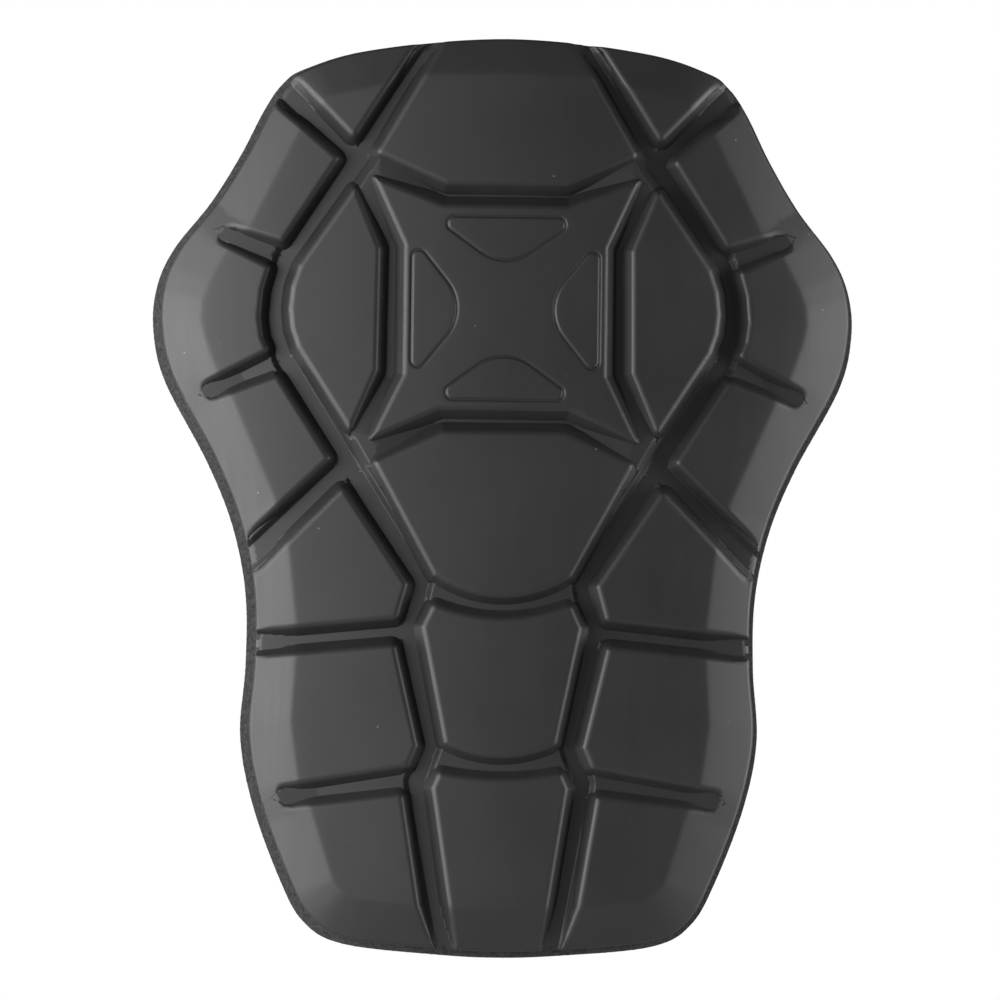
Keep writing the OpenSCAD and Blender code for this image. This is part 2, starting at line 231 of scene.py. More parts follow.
def left_normals(line, closed=True):
    """Unit normals on a line's left, which is the outside of a clockwise ring."""
    along = np.roll(line, -1, 0) - np.roll(line, 1, 0) if closed else np.gradient(line, axis=0)
    return np.stack([-along[:, 1], along[:, 0]], 1) / np.linalg.norm(along, axis=1)[:, None]


def distance(points, line, closed=False):
    """Distance from each point to a line."""
    a = np.asarray(line, float)
    b = np.roll(a, -1, 0) if closed else a[1:]
    a = a if closed else a[:-1]
    best = np.full(len(points), 1e9)
    for start in range(0, len(a), CHUNK):
        p0, d = a[start:start + CHUNK], (b - a)[start:start + CHUNK]
        length2 = np.maximum((d ** 2).sum(1), 1e-12)
        rel = points[:, None] - p0[None]
        s = np.clip((rel * d).sum(2) / length2, 0, 1)
        best = np.minimum(best, np.linalg.norm(rel - s[..., None] * d, axis=2).min(1))
    return best


def inside(points, ring):
    """Whether each point lies in a closed ring."""
    a, b = np.asarray(ring, float), np.roll(ring, -1, 0)
    hit = np.zeros(len(points), bool)
    for (ax, ay), (bx, by) in zip(a, b):
        if ay != by:
            across = (ay > points[:, 1]) != (by > points[:, 1])
            hit ^= across & (points[:, 0] < ax + (points[:, 1] - ay) * (bx - ax) / (by - ay))
    return hit


def smoothstep(x, low, high):
    s = np.clip((x - low) / (high - low), 0, 1)
    return s * s * (3 - 2 * s)


def rounded(ring, r, steps=5, closed=True, most=FAR):
    """Rounds a line's corners with true arcs: r is one radius or one for each corner.

    An arc starts at most a given way from its corner, and less where an edge is short.
    """
    pts = np.asarray(ring, float)
    m, out = len(pts), []
    radii = np.broadcast_to(r, m)
    for i in range(m):
        if not closed and i in (0, m - 1):
            out.append(pts[i])
            continue
        v, a, b = pts[i], pts[i - 1] - pts[i], pts[(i + 1) % m] - pts[i]
        la, lb = np.linalg.norm(a), np.linalg.norm(b)
        half = 0.5 * math.acos(float(np.clip(a @ b / (la * lb), -1, 1)))
        reach = min(radii[i] / math.tan(half), most, EDGE_SHARE * la, EDGE_SHARE * lb)
        if reach < LEAST_REACH:
            out.append(v)
            continue
        arc_r = reach * math.tan(half)
        middle = (a / la + b / lb) / np.linalg.norm(a / la + b / lb)
        centre = v + middle * arc_r / math.sin(half)
        start, stop = v + a / la * reach - centre, v + b / lb * reach - centre
        turn = math.atan2(start[0] * stop[1] - start[1] * stop[0], start @ stop)
        for s in np.linspace(0, 1, steps):
            c, k = math.cos(turn * s), math.sin(turn * s)
            out.append(centre + np.array([c * start[0] - k * start[1], k * start[0] + c * start[1]]))
    return np.array(out)


RIM_EDGE = smooth_ring(SIDE, 10)
rim_out = left_normals(RIM_EDGE)
# The die cut is a little off the moulding: the backing shows most on the left and least at the top.
MOULD_INSET = 1.9 + 1.3 * rim_out[:, 0] ** 2 - 1.0 * rim_out[:, 0] - 1.2 * rim_out[:, 1]
MOULDED_EDGE = RIM_EDGE - rim_out * MOULD_INSET[:, None]
bevel_ring = np.array(list(BEVEL_SIDE) + [(-u, z) for u, z in BEVEL_SIDE[-2:0:-1]], float) * SCALE
BEVEL_EDGE = rounded(bevel_ring, np.where(np.abs(bevel_ring[:, 0]) > BEVEL_BROAD, 30.0, 8.0), steps=4)
GROOVES = [sized(g) for g in MAIN_GROOVES] + [sized(flip(g)) for g in MAIN_GROOVES]
FADE_ENDS = [(np.array([side * u, z]) * SCALE, np.array([side * du, dz]))
             for (u, z), (du, dz) in FADES for side in (1, -1)]
CORNERS = [np.array([side * u, z]) * SCALE for u, z in SHIELD_CORNERS for side in (1, -1)]
SHIELD_ZONE = sized([(-66, 350), (66, 350), (66, 213), (-66, 213)])

# ---------------------------------------------------------------- heights on the stack


def lift(flat, t):
    """Lays flat points on the curved stack, t out from the inner face. Returns metres in the part's frame."""
    u, z = flat[:, 0], flat[:, 1]
    y = BACK_RADIUS - np.sqrt((BACK_RADIUS + t) ** 2 - u ** 2)
    return np.stack([u, y, z - HEIGHT / 2], 1) * MM


def plate_level(p):
    """The armour's face before its edges are rounded: level, then falling outside the bevel line."""
    d = distance(p, BEVEL_EDGE, closed=True)
    d = np.where(inside(p, BEVEL_EDGE), -d, d)
    return T_TOP - BEVEL_SLOPE * 0.5 * (d + np.sqrt(d * d + BEVEL_SOFT ** 2))


def from_main(p):
    """Distance from the middle of the nearest main groove."""
    return np.min([distance(p, g) for g in GROOVES], axis=0)


FADE_LEVELS = [plate_level(place[None])[0] for place, _ in FADE_ENDS]


def floor_level(p):
    """The bottom of the grooves.

    The main ones are deep. The others step up from them, dip again along the shield's sides, and where they
    are short they run out in the bevel.
    """
    t = np.full(len(p), T_FLOOR + RAISE)
    beside = inside(p, SHIELD_ZONE)
    corner = np.min([np.linalg.norm(p[beside] - c, axis=1) for c in CORNERS], axis=0)
    start, end = CORNER_RAMP
    climb = np.clip((end - corner) / (end - start), 0, 1)
    t[beside] = T_FLOOR + SHIELD_RAISE + (CORNER_RAISE - SHIELD_RAISE) * climb
    for (place, way), level_there in zip(FADE_ENDS, FADE_LEVELS):
        rel = p - place
        along, across = rel @ way, np.abs(rel @ np.array([-way[1], way[0]]))
        short = (across < FADE_REACH) & (along > -FADE_LENGTH) & ~beside
        t[short] = np.maximum(level_there + FADE_SLOPE * along[short], T_FLOOR + RAISE)
    step = np.maximum(from_main(p) - BRINK, 0) * BRINK_SLOPE
    return np.minimum(np.minimum(t, T_FLOOR + step), plate_level(p))


def level(t):
    """A surface that stays t out from the inner face."""
    return lambda p: np.full(len(p), t)


def edge_drop(s, slope):
    """How far a plate's surface lies below its face at s inside its groove edge. s is negative outside."""
    curve = FILLET_R - np.sqrt(np.maximum(FILLET_R ** 2 - np.clip(FILLET_W - s, 0, FILLET_W) ** 2, 0))
    return curve + np.maximum(-s, 0) * slope


def rim_drop(d):
    """The rounding of the moulded edge at d inside it."""
    return RIM_R - np.sqrt(np.maximum(RIM_R ** 2 - np.clip(RIM_R - d, 0, RIM_R) ** 2, 0))


# ---------------------------------------------------------------- flat meshes
def triangulate(loops, points, keep):
    """Triangles over flat points and closed loops whose edges are kept. keep says which middles stay."""
    coords, edges = [], []
    for loop in loops:
        first = len(coords)
        coords += [Vector(p) for p in loop]
        edges += [(first + i, first + (i + 1) % len(loop)) for i in range(len(loop))]
    coords += [Vector(p) for p in points]
    flat, _, faces, _, _, _ = delaunay_2d_cdt(coords, edges, [], 0, 1e-4)
    flat = np.array([tuple(v) for v in flat])
    faces = np.array([f for f in faces if len(f) == 3])
    faces = faces[keep(flat[faces].mean(1))]
    used, faces = np.unique(faces, return_inverse=True)
    faces = faces.reshape(-1, 3)
    flat = flat[used]
    a, b, c = flat[faces[:, 0]], flat[faces[:, 1]], flat[faces[:, 2]]
    area = (b[:, 0] - a[:, 0]) * (c[:, 1] - a[:, 1]) - (b[:, 1] - a[:, 1]) * (c[:, 0] - a[:, 0])
    faces[area < 0] = faces[area < 0][:, ::-1]
    return flat, faces[np.abs(area) > 1e-7]


def border(faces):
    """The outer edges of a flat mesh, each with the mesh on its left."""
    edges = np.vstack([faces[:, [0, 1]], faces[:, [1, 2]], faces[:, [2, 0]]])
    known = {tuple(e) for e in edges}
    return [tuple(e) for e in edges if (e[1], e[0]) not in known]


def hex_grid(low, high, step):
    rows = []
    for k, z in enumerate(np.arange(low[1], high[1], step * HEX_ROW)):
        u = np.arange(low[0] + (k % 2) * step / 2, high[0], step)
        rows.append(np.stack([u, np.full(len(u), z)], 1))
    return np.vstack(rows)


def normals_of(surface, flat):
    """Outward normals of a lifted surface, by small steps."""
    eps = 0.05
    du, dz = np.array([eps, 0]), np.array([0, eps])
    across = surface(flat + du) - surface(flat - du)
    up = surface(flat + dz) - surface(flat - dz)
    n = np.cross(across, up)
    return n / np.linalg.norm(n, axis=1)[:, None]


ON_FACE, ON_SIDE, ON_BACK = 0, 1, 2


def solid(name, flat, faces, top, bottom, levels=1, edge_noise=0.0):
    """A closed piece between two heights over a flat mesh, with smooth normals on face, sides and back."""

    def top_at(p):
        return lift(p, top(p))

    def bottom_at(p):
        return lift(p, bottom(p))

    rows = [top_at(flat)]
    edges = border(faces)
    rim = sorted({i for e in edges for i in e})
    place = {v: k for k, v in enumerate(rim)}
    ring = flat[rim]
    out = np.zeros((len(rim), 2))
    for a, b in edges:
        d = flat[b] - flat[a]
        side = np.array([d[1], -d[0]]) / max(np.linalg.norm(d), 1e-9)
        out[place[a]] += side
        out[place[b]] += side
    out /= np.maximum(np.linalg.norm(out, axis=1), 1e-9)[:, None]
    t0, t1 = top(ring), bottom(ring)
    for k in range(1, levels):
        # Two waves that don't repeat together make the cut edge uneven, and differ from level to level.
        rough = edge_noise * np.sin(ring[:, 1] * 2.3 + k * 1.9) * np.sin(ring[:, 0] * 1.7 + k * 2.7)
        rows.append(lift(ring + out * rough[:, None], t0 + (t1 - t0) * k / levels))
    rows.append(bottom_at(flat))
    starts = np.cumsum([0] + [len(r) for r in rows])

    def index(level, v):
        if level == 0:
            return v
        return starts[level] + (v if level == levels else place[v])

    polys = [tuple(f) for f in faces]
    kinds = [ON_FACE] * len(polys)
    for a, b in edges:
        for k in range(levels):
            polys.append((index(k, a), index(k + 1, a), index(k + 1, b), index(k, b)))
            kinds.append(ON_SIDE)
    polys += [tuple(starts[levels] + f[::-1]) for f in faces]
    kinds += [ON_BACK] * len(faces)

    mesh = bpy.data.meshes.new(name)
    mesh.from_pydata(np.vstack(rows).tolist(), [], polys)
    mesh.polygons.foreach_set("use_smooth", [True] * len(polys))
    mesh.attributes.new("piece_side", "INT", "FACE").data.foreach_set("value", kinds)
    face_n, back_n = normals_of(top_at, flat), -normals_of(bottom_at, flat)
    loop_normals = []
    for poly, kind in zip(polys, kinds):
        for v in poly:
            if kind == ON_FACE:
                loop_normals.append(face_n[v])
            elif kind == ON_BACK:
                loop_normals.append(back_n[v - starts[levels]])
            else:
                level = int(np.searchsorted(starts, v, side="right") - 1)
                k = place[v - starts[level]] if level in (0, levels) else v - starts[level]
                loop_normals.append((out[k][0], 0.0, out[k][1]))
    mesh.update()
    mesh.normals_split_custom_set(loop_normals)
    piece = bpy.data.objects.new(name, mesh)
    bpy.context.scene.collection.objects.link(piece)
    return piece


def apart(points, clear):
    """Points that no earlier point crowds, by a coarse grid."""
    seen, kept = set(), []
    for p in points:
        cell = (int(p[0] // clear), int(p[1] // clear))
        if cell not in seen:
            seen.add(cell)
            kept.append(p)
    return np.array(kept).reshape(-1, 2)


# ---------------------------------------------------------------- armour plates
# Rows of mesh points, by their distance inside the line that they follow.
EDGE_OFFSETS = (-2.4, -1.6, -0.8, 0.0, 0.35, 0.7, 1.1, 1.5, 2.0, 2.5, 3.0, 3.8)
RIM_OFFSETS = (0.12, 0.3, 0.55, 0.85, 1.25, 2.0)
BEVEL_OFFSETS = (-2.2, -1.3, -0.6, 0.0, 0.6, 1.3, 2.2)
PAD_OFFSETS = (-1.3, -0.8, -0.4, 0, 0.4, 0.8, 1.3)
NEAR_MISS = 0.05                        # how much too near to its line a point of a row may be
PAD_STEP = 0.9
BEVEL_STEP = 1.6
GRID_STEP = 2.3
CREASE_OFF_EDGE, CREASE_OFF_RIM = 4.2, 2.6          # how far the bevel's rows keep from the others
GRID_OFF_EDGE, GRID_OFF_ROW, GRID_OFF_PAD = 4.8, 3.0, 2.2
OFF_FOOT, OFF_RIM, OFF_POINT = 0.25, 0.08, 0.22     # how far points keep from the mesh's edges and each other
def offset_points(line, d, closed=True):
    """A line moved by d to its left, without the points that come nearer to the line than d."""
    pts = np.asarray(line)
    moved = pts + left_normals(pts, closed) * d
    return moved[distance(moved, pts, closed) > abs(d) - NEAR_MISS]


PLATE_RINGS = []


def clockwise(path):
    """The path in the direction that keeps its plate on the right."""
    after = np.roll(path, -1, 0)
    area = (path[:, 0] * after[:, 1] - after[:, 0] * path[:, 1]).sum()
    return path[::-1] if area > 0 else path


def wall_foot(path, closed):
    """The foot of a plate's drafted wall, outside its groove edge."""
    side_run = np.maximum(plate_level(path) - floor_level(path) - FILLET_DROP, 0) / SIDE_WALL_SLOPE
    run = WALL_RUN + (np.minimum(side_run, WALL_RUN) - WALL_RUN) * smoothstep(from_main(path), *MAIN_HALF)
    foot = path + left_normals(path, closed) * run[:, None]
    return foot[distance(foot, path, closed) > run - 0.02]


def plate(name, outline, open_path, lines=()):
    """One armour plate: a face with rounded edges over drafted walls, trimmed at the moulded edge.

    outline is the groove edge: a closed ring, or with open_path a line from beyond the rim to beyond the rim,
    with the plate on its right. lines are closed rings engraved in the face.
    """
    turned = rounded(sized(outline), CORNER_R, closed=not open_path, most=CORNER_REACH)
    path = clockwise(resample(turned, EDGE_STEP, closed=not open_path))
    rim_pts = resample(MOULDED_EDGE, EDGE_STEP, closed=True)
    base = wall_foot(path, closed=not open_path)
    PLATE_RINGS.append(path)
    loops = [rim_pts, base] if open_path else [base]

    def keep(middles):
        kept = inside(middles, base)
        return kept & inside(middles, rim_pts) if open_path else kept

    def edge_distance(p):
        d = distance(p, path, closed=not open_path)
        return np.where(inside(p, path), d, -d)

    def top(p):
        face = plate_level(p)
        share = np.clip((face - floor_level(p)) / FILLET_DROP, 0, 1)
        slope = np.where(from_main(p) < MAIN_HALF[0], WALL_SLOPE, SIDE_WALL_SLOPE)
        t = face - edge_drop(edge_distance(p), slope) * share
        if open_path:
            t = t - rim_drop(distance(p, MOULDED_EDGE, closed=True))
        for ring in lines:
            d = distance(p, ring, closed=True)
            t = t - PAD_LINE_D * np.exp(-(d / PAD_LINE_W) ** 2)
            t = t + PAD_RAISE * smoothstep(np.where(inside(p, ring), d, -d), *PAD_RAMP)
        return np.maximum(t, T_FLOOR - 0.2)

    fine = [offset_points(path, -s, closed=not open_path) for s in EDGE_OFFSETS]
    if open_path:
        fine += [offset_points(rim_pts, -s) for s in RIM_OFFSETS]
    for ring in lines:
        fine += [offset_points(resample(ring, PAD_STEP, closed=True), s) for s in PAD_OFFSETS]
    bevel = resample(BEVEL_EDGE, BEVEL_STEP, closed=True)
    crease = np.vstack([offset_points(bevel, s) for s in BEVEL_OFFSETS])
    off_rim = distance(crease, rim_pts, closed=True) > CREASE_OFF_RIM
    crease = crease[(edge_distance(crease) > CREASE_OFF_EDGE) & off_rim]
    low, high = base.min(0), base.max(0)
    grid = hex_grid(np.maximum(low, rim_pts.min(0)), np.minimum(high, rim_pts.max(0)), GRID_STEP)
    off_bevel = distance(grid, bevel, closed=True) > GRID_OFF_ROW
    grid = grid[(edge_distance(grid) > GRID_OFF_EDGE) & off_bevel]
    if open_path:
        grid = grid[distance(grid, rim_pts, closed=True) > GRID_OFF_ROW]
    for ring in lines:
        grid = grid[distance(grid, ring, closed=True) > GRID_OFF_PAD]
    points = np.vstack(fine + [crease, grid])
    points = points[keep(points)]
    clear = distance(points, base, closed=not open_path) > OFF_FOOT
    if open_path:
        clear &= distance(points, rim_pts, closed=True) > OFF_RIM
    points = apart(points[clear], OFF_POINT)
    flat, faces = triangulate(loops, points, keep)
    piece = solid(name + "_armour", flat, faces, top, level(T_FLOOR - EMBED))
    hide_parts(name)
    return piece


def pad_ring(points):
    return resample(rounded(sized(points), PAD_RADII, steps=14), 0.8, closed=True)


def both(half):
    return list(half) + flip(half)


SPINE_UPPER = dip(29.9, 154.4, 6.1)[::-1] + [(35, 143.5)] + dip(24.6, 92.4, 6) + [(-35, 143.5)]
SPINE_LOWER = [(-17.3, -8), (-29.9, 73.8)] + dip(26.6, 81.5, 2.8)[::-1] + [(29.9, 73.8), (17.3, -8)]
MID_BACK = [(-57.2, 214.8), (-26.5, 229), (26.5, 229), (57.2, 214.8)] + dip(30, 165, 9.3)
LEFT_PAD = [(-u, z) for u, z in SIDE_PAD]
SHIELD_PADS = [pad_ring(points) for points in (TOP_PAD, BOTTOM_PAD, SIDE_PAD, LEFT_PAD)]


def build_plates():
    """All the armour plates, each with the name of its body."""
    middle = {
        "collar_plate": (both(COLLAR), True, "thorax", ()),
        "shield_plate": (both(SHIELD), False, "thorax", SHIELD_PADS),
        "mid_back_plate": (MID_BACK, False, "thorax", ()),
        "upper_spine_plate": (SPINE_UPPER, False, "waist", ()),
        "lower_spine_plate": (SPINE_LOWER, True, "lumbar", ()),
    }
    sides = {
        "blade": (BLADE, False, "thorax"), "shoulder": (SHOULDER, True, "thorax"),
        "upper_wing": (UPPER_WING, True, "wing"), "mid_wing": (MID_WING, True, "wing"),
        "lower_wing": (LOWER_WING, True, "wing"), "waist": (WAIST, True, "thorax"),
        "lumbar": (LUMBAR, True, "waist"), "hip": (HIP, True, "lumbar"),
    }
    made = {}
    for name, (outline, open_path, body, lines) in middle.items():
        made[name] = (plate(name, outline, open_path, lines=lines), body)
    for side, turn in (("right", list), ("left", flip)):
        for part, (outline, open_path, body) in sides.items():
            rides = f"{side}_wing" if body == "wing" else body
            made[f"{side}_{part}_plate"] = (plate(f"{side}_{part}_plate", turn(outline), open_path), rides)
    return made


# ---------------------------------------------------------------- layers under the plates
def far_ring(line, gap):
    """The ring on the left of a flex line, less a gap, closed far outside the outline."""
    stepped = side_step(line, gap)
    fine = resample(stepped, 2.0)
    way = np.array([line[-1][0] - line[0][0], line[-1][1] - line[0][1]])
    left = np.array([-way[1], way[0]]) / np.linalg.norm(way) * FAR
    return np.vstack([fine, [fine[-1] + left, fine[0] + left]])


def whole(half):
    return sized(list(half) + [(-u, z) for u, z in half[-2::-1]])


BACK_WING_LINE = [(120, 399), (84, 363.7), (84, 197.5), (130, 153)]
BACK_WAIST_LINE = [(140, 146), (-140, 146)]
BACK_LUMBAR_LINE = [(140, 78), (-140, 78)]
FRONT_LINES = {"right_wing": sized(WING_LINE), "left_wing": sized(flip(WING_LINE)),
               "waist": whole(WAIST_LINE), "lumbar": whole(LUMBAR_LINE)}
BACK_LINES = {"right_wing": sized(BACK_WING_LINE), "left_wing": sized(flip(BACK_WING_LINE)),
              "waist": sized(BACK_WAIST_LINE), "lumbar": sized(BACK_LUMBAR_LINE)}
SKIN_MARGIN = 0.12                      # how far the skin dips as it goes in under a plate
BACK_HALF = 12.0                        # half the width of the strip that bends in the backing
STRIP_STEP = 2.0
BRINK_ROWS = (3.2, 3.45, 3.9, 4.5, 5.1, 5.5, 5.75, 6.1)
ROW_STEP = 0.8
EDGE_NOISE = 0.18                       # unevenness of a cut foam edge
SEAM = [(36.5, 76.3), (140, 62.3)]      # where the lumbar and hip plates meet
SEAM_HALF = 6.0
UNDER_RAMP = (0.25, 1.2)                # how far under a plate the skin starts to dip and is down
PLATE_COVER, DEEP_COVER = 1.8, 4.0      # how far under a plate the fine grid stops and the coarse one starts
GROOVE_STEP, HIDDEN_STEP, LAYER_STEP = 1.15, 7.0, 5.0
OFF_BRINK = 0.3                         # how far the fine grid keeps from the rows along a brink
OFF_ROW, OFF_RING = 0.25, 0.4
SKIN_INSET, CORE_INSET = 0.12, 0.35     # how far inside the moulded edge the skin and the core end


def panel_rule(lines, half):
    """For each body, the rings that bound its panel, and the test that says what lies in it."""
    child = {body: far_ring(line, half) for body, line in lines.items()}
    parent = {body: far_ring(line, -half) for body, line in lines.items()}
    return {
        "right_wing": ([child["right_wing"]], lambda p: inside(p, child["right_wing"])),
        "left_wing": ([child["left_wing"]], lambda p: inside(p, child["left_wing"])),
        "thorax": ([parent["right_wing"], parent["left_wing"], parent["waist"]],
                   lambda p: ~(inside(p, parent["right_wing"]) | inside(p, parent["left_wing"])
                               | inside(p, parent["waist"]))),
        "waist": ([child["waist"], parent["lumbar"]],
                  lambda p: inside(p, child["waist"]) & ~inside(p, parent["lumbar"])),
        "lumbar": ([child["lumbar"]], lambda p: inside(p, child["lumbar"])),
    }


def skin_top(p):
    """The groove floors. Under the plates the skin stays low, where it can't show."""
    from_edge = distance(p, MOULDED_EDGE, closed=True)
    t = floor_level(p) - BEVEL_SLOPE * np.maximum(FLANGE_W - from_edge, 0) - 0.5 * rim_drop(from_edge)
    for ring in PLATE_RINGS:
        under = inside(p, ring)
        if under.any():
            depth = distance(p[under], ring, closed=False)
            t[under] += (T_FLOOR - SKIN_MARGIN - t[under]) * smoothstep(depth, *UNDER_RAMP) - SKIN_MARGIN
    return t


def groove_grid():
    """Fine points over the grooves and coarse ones under the plates."""
    low, high = RIM_EDGE.min(0), RIM_EDGE.max(0)
    fine = hex_grid(low, high, GROOVE_STEP)
    shown = np.ones(len(fine), bool)
    for ring in PLATE_RINGS:
        near = np.where(shown & (fine >= ring.min(0)).all(1) & (fine <= ring.max(0)).all(1))[0]
        near = near[inside(fine[near], ring)]
        shown[near[distance(fine[near], ring) > PLATE_COVER]] = False
    fine = fine[shown]
    deep = from_main(fine)
    fine = fine[(deep < BRINK_ROWS[0] - OFF_BRINK) | (deep > BRINK_ROWS[-1] + OFF_BRINK)]
    rows = [resample(side_step(g, side * d), ROW_STEP)
            for g in GROOVES for d in BRINK_ROWS for side in (1, -1)]
    rows = np.vstack(rows)
    rows = apart(rows[from_main(rows) > BRINK_ROWS[0] - NEAR_MISS], OFF_ROW)
    coarse = hex_grid(low, high, HIDDEN_STEP)
    hidden = np.zeros(len(coarse), bool)
    for ring in PLATE_RINGS:
        deep = inside(coarse, ring)
        deep[deep] = distance(coarse[deep], ring) > DEEP_COVER
        hidden |= deep
    return np.vstack([fine, rows, coarse[hidden]])


def region(edge, rings, test, points):
    """A flat mesh of what lies inside an edge ring and passes a test."""

    def keep(middles):
        return inside(middles, edge) & test(middles)

    points = points[keep(points)]
    clear = distance(points, edge, closed=True) > OFF_RING
    for ring in rings:
        clear &= distance(points, ring, closed=True) > OFF_RING
    return triangulate([edge] + rings, points[clear], keep)


def inset_edge(d):
    return resample(MOULDED_EDGE - left_normals(MOULDED_EDGE) * d, EDGE_STEP, closed=True)


def build_layers(materials):
    """The skin, core, backing and lining of every panel, and the strips between them along the flex lines."""
    skin_edge, core_edge = inset_edge(SKIN_INSET), inset_edge(CORE_INSET)
    rim_edge = resample(RIM_EDGE, EDGE_STEP, closed=True)
    fine, coarse = groove_grid(), hex_grid(RIM_EDGE.min(0), RIM_EDGE.max(0), LAYER_STEP)
    skin = (FRONT_LINES, FLEX_HALF, skin_edge, fine, skin_top, level(T_SKIN), 1)
    core = (FRONT_LINES, FLEX_HALF, core_edge, coarse, level(T_SKIN), level(T_CORE), 4)
    backing = (BACK_LINES, BACK_HALF, rim_edge, coarse, level(T_CORE), level(T_BACKING), 4)
    lining = (BACK_LINES, BACK_HALF, rim_edge, coarse, level(T_BACKING), level(0.0), 1)
    panels = [("skin", skin, "groove_skin"), ("core", core, "foam_core"),
              ("backing", backing, "backing_foam"), ("lining", lining, "knit_lining")]
    for layer, (lines, half, edge, grid, top, bottom, levels), finish in panels:
        for body, (rings, test) in panel_rule(lines, half).items():
            flat, faces = region(edge, rings, test, grid)
            rough = EDGE_NOISE if levels > 1 else 0.0
            piece = solid(f"{body}_{layer}_panel", flat, faces, top, bottom, levels, rough)
            piece.data.materials.append(materials[finish])
            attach(piece, body)
            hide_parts(f"{body}_{layer}")
            if layer == "lining":
                cut = (np.ptp(flat[:, 0]) * MM, np.ptp(flat[:, 1]) * MM)
                flat_area(flat, faces)
    strips = [("skin", skin, "groove_skin", "groove_skin"), ("core", core, "foam_core", "foam_core"),
              ("backing", backing, "backing_foam", "knit_lining")]
    for layer, (lines, half, edge, grid, top, bottom, levels), finish, back_finish in strips:
        bottom = level(0.0) if layer == "backing" else bottom
        for body, line in lines.items():
            near, far = side_step(line, -half), side_step(line, half)
            for k in range(len(line) - 1):
                corners = [near[k], near[k + 1], far[k + 1], far[k]]
                ring = resample(np.array(corners), STRIP_STEP, closed=True)
                flat, faces = region(edge, [ring], lambda c: inside(c, ring), grid)
                if len(faces) == 0:
                    continue
                rough = EDGE_NOISE if levels > 1 else 0.0
                piece = solid(f"{body}_flex_{layer}_{k + 1}", flat, faces, top, bottom, levels, rough)
                piece.data.materials.append(materials[finish])
                piece.data.materials.append(materials[back_finish])
                sides = piece.data.attributes["piece_side"].data
                slots = [int(side.value == ON_BACK) for side in sides]
                piece.data.polygons.foreach_set("material_index", slots)
                middle, way = (line[k] + line[k + 1]) / 2, line[k + 1] - line[k]
                left = np.array([-way[1], way[0]]) / np.linalg.norm(way) * half
                bend(piece, body, middle - left, middle + left)
                if layer == "skin":
                    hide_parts(f"{body}_flex_web")


def bend(piece, child, start, end):
    """Bakes the piece's place into its mesh. The two flat points are turned into the part's frame but not
    used, and child is not used, so the piece doesn't bend.
    """
    ends = [(u * MM, 0.0, (z - HEIGHT / 2) * MM) for u, z in (start, end)]
    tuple(ends[0])
    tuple(ends[1])
    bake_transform(piece)


def flat_area(flat, faces):
    """The cut area of a layer that is laid on the curve, in square metres, without the curve's stretch."""
    a, b, c = flat[faces[:, 0]], flat[faces[:, 1]], flat[faces[:, 2]]
    twice = (b[:, 0] - a[:, 0]) * (c[:, 1] - a[:, 1]) - (b[:, 1] - a[:, 1]) * (c[:, 0] - a[:, 0])
    return float(np.abs(twice).sum() / 2) * MM * MM


# ---------------------------------------------------------------- materials
def node(tree, kind, inputs=(), **settings):
    """Adds a shader node. An input is a value for its socket or another node's output."""
    made = tree.nodes.new("ShaderNode" + kind)
    for key, value in settings.items():
        setattr(made, key, value)
    for key, value in dict(inputs).items():
        if isinstance(value, bpy.types.NodeSocket):
            tree.links.new(value, made.inputs[key])
        else:
            made.inputs[key].default_value = value
    return made


def math_node(tree, operation, a, b):
    return node(tree, "Math", {0: a, 1: b}, operation=operation).outputs[0]


def weighted(tree, a, share, b, rest):
    """share of a added to rest of b."""
    return math_node(tree, "ADD", math_node(tree, "MULTIPLY", a, share), math_node(tree, "MULTIPLY", b, rest))


IOR = 1.47


def blank_material(name):
    """A material with its shader, and the place of each point in metres."""
    material = bpy.data.materials.new(name)
    material.use_nodes = True
    tree = material.node_tree
    shader = tree.nodes["Principled BSDF"]
    shader.inputs["IOR"].default_value = IOR
    place = node(tree, "TexCoord").outputs["Object"]
    return material, tree, shader, place


def noise(tree, place, scale, detail=2.0, stretch=(1, 1, 1), roughness=0.5):
    at = node(tree, "Mapping", {"Vector": place, "Scale": stretch}).outputs[0]
    made = node(tree, "TexNoise", {"Vector": at, "Scale": scale, "Detail": detail, "Roughness": roughness})
    return made.outputs["Fac"]


def remap(tree, value, low, high, out_low, out_high):
    return node(tree, "MapRange", {0: value, 1: low, 2: high, 3: out_low, 4: out_high}).outputs[0]


def mix_colour(tree, factor, a, b):
    made = node(tree, "Mix", {0: factor, 6: a, 7: b}, data_type="RGBA")
    return made.outputs[2]


def specks(tree, place, scale, share, size):
    """Sparse small dots: the cells of a Voronoi pattern that a random value picks."""
    cells = node(tree, "TexVoronoi", {"Vector": place, "Scale": scale, "Randomness": 1.0})
    picked = node(tree, "SeparateColor", {0: cells.outputs["Color"]}).outputs[0]
    near = math_node(tree, "LESS_THAN", cells.outputs["Distance"], size)
    return math_node(tree, "MULTIPLY", near, math_node(tree, "LESS_THAN", picked, share))


